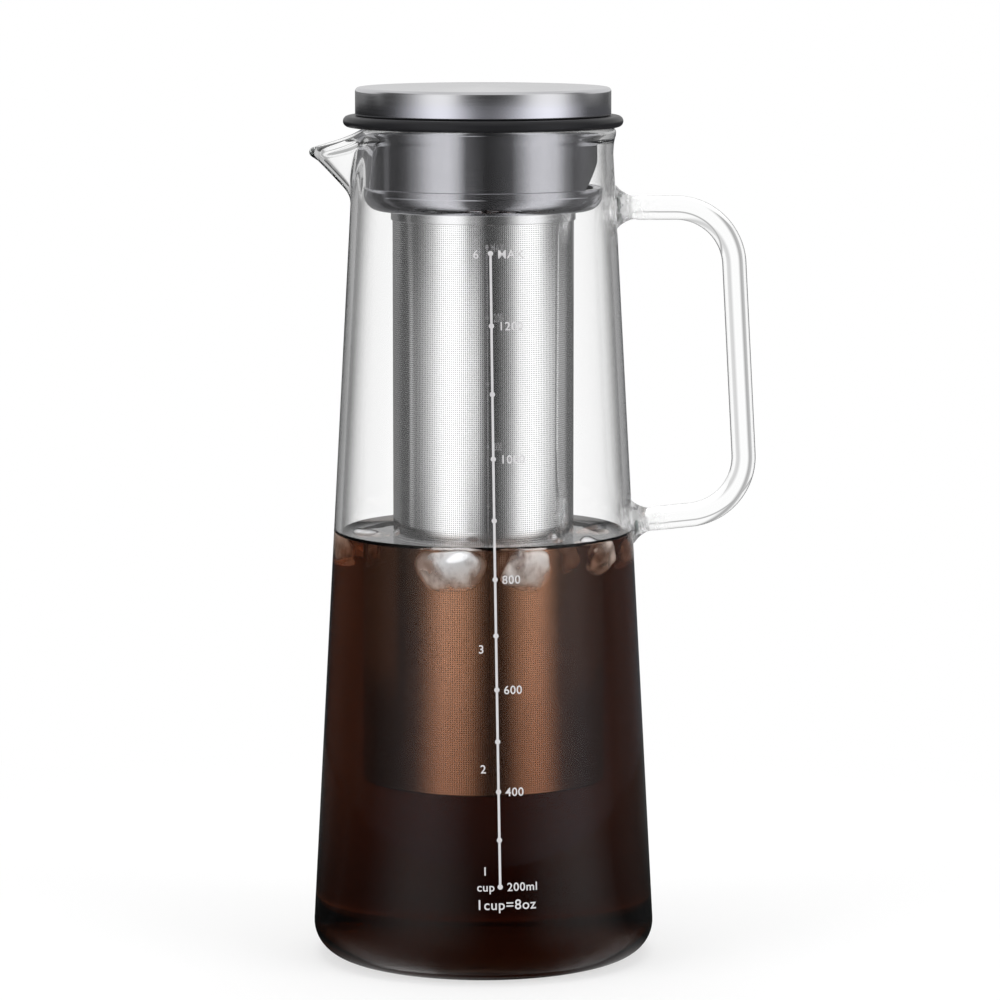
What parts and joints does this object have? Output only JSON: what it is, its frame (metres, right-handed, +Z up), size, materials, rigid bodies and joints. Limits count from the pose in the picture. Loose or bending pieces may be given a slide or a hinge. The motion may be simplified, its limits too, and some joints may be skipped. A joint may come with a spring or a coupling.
{
  "type": "cold brew coffee maker",
  "caption": "Conical glass carafe with a pulled spout and rod handle, a steel lid over a silicone rim seal, and a fine-mesh filter hanging inside for steeping coffee.",
  "frame": {"origin": "centre of the carafe's foot, on the surface it stands on", "axes": "+Z up along the carafe's axis, +X towards the handle, -X towards the spout"},
  "size_m": [0.1333, 0.1024, 0.2611],
  "materials": {
    "glass": "fire-polished, clear",
    "silicone": "satin black silicone",
    "brushed_cap": "fine circular brushing",
    "polished_sheet": "drawn and polished stainless sheet",
    "mesh": "etched fine mesh, satin",
    "moulding": "black moulded plastic"
  },
  "bodies": {
    "carafe": {"carafe_body": "glass", "handle": "glass"},
    "seal": {"rim_seal": "silicone"},
    "lid": {"cap_shell": "brushed_cap", "lid_core": "moulding", "pour_skirt": "polished_sheet", "filter_gasket": "silicone"},
    "filter": {"filter_cup": "polished_sheet", "filter_tube": "mesh", "filter_base": "polished_sheet"}
  },
  "joints": [
    {"name": "lid_lift", "type": "slide", "parent": "carafe", "child": "seal", "axis": [0, 0, 1], "range_m": [0, 0.24]},
    {"name": "lid_turn", "type": "hinge", "parent": "seal", "child": "lid", "pos_m": [0, 0, 0.25], "axis": [0, 0, 1], "continuous": true},
    {"name": "filter_pull", "type": "slide", "parent": "lid", "child": "filter", "axis": [0, 0, -1], "range_m": [0, 0.04]}
  ]
}
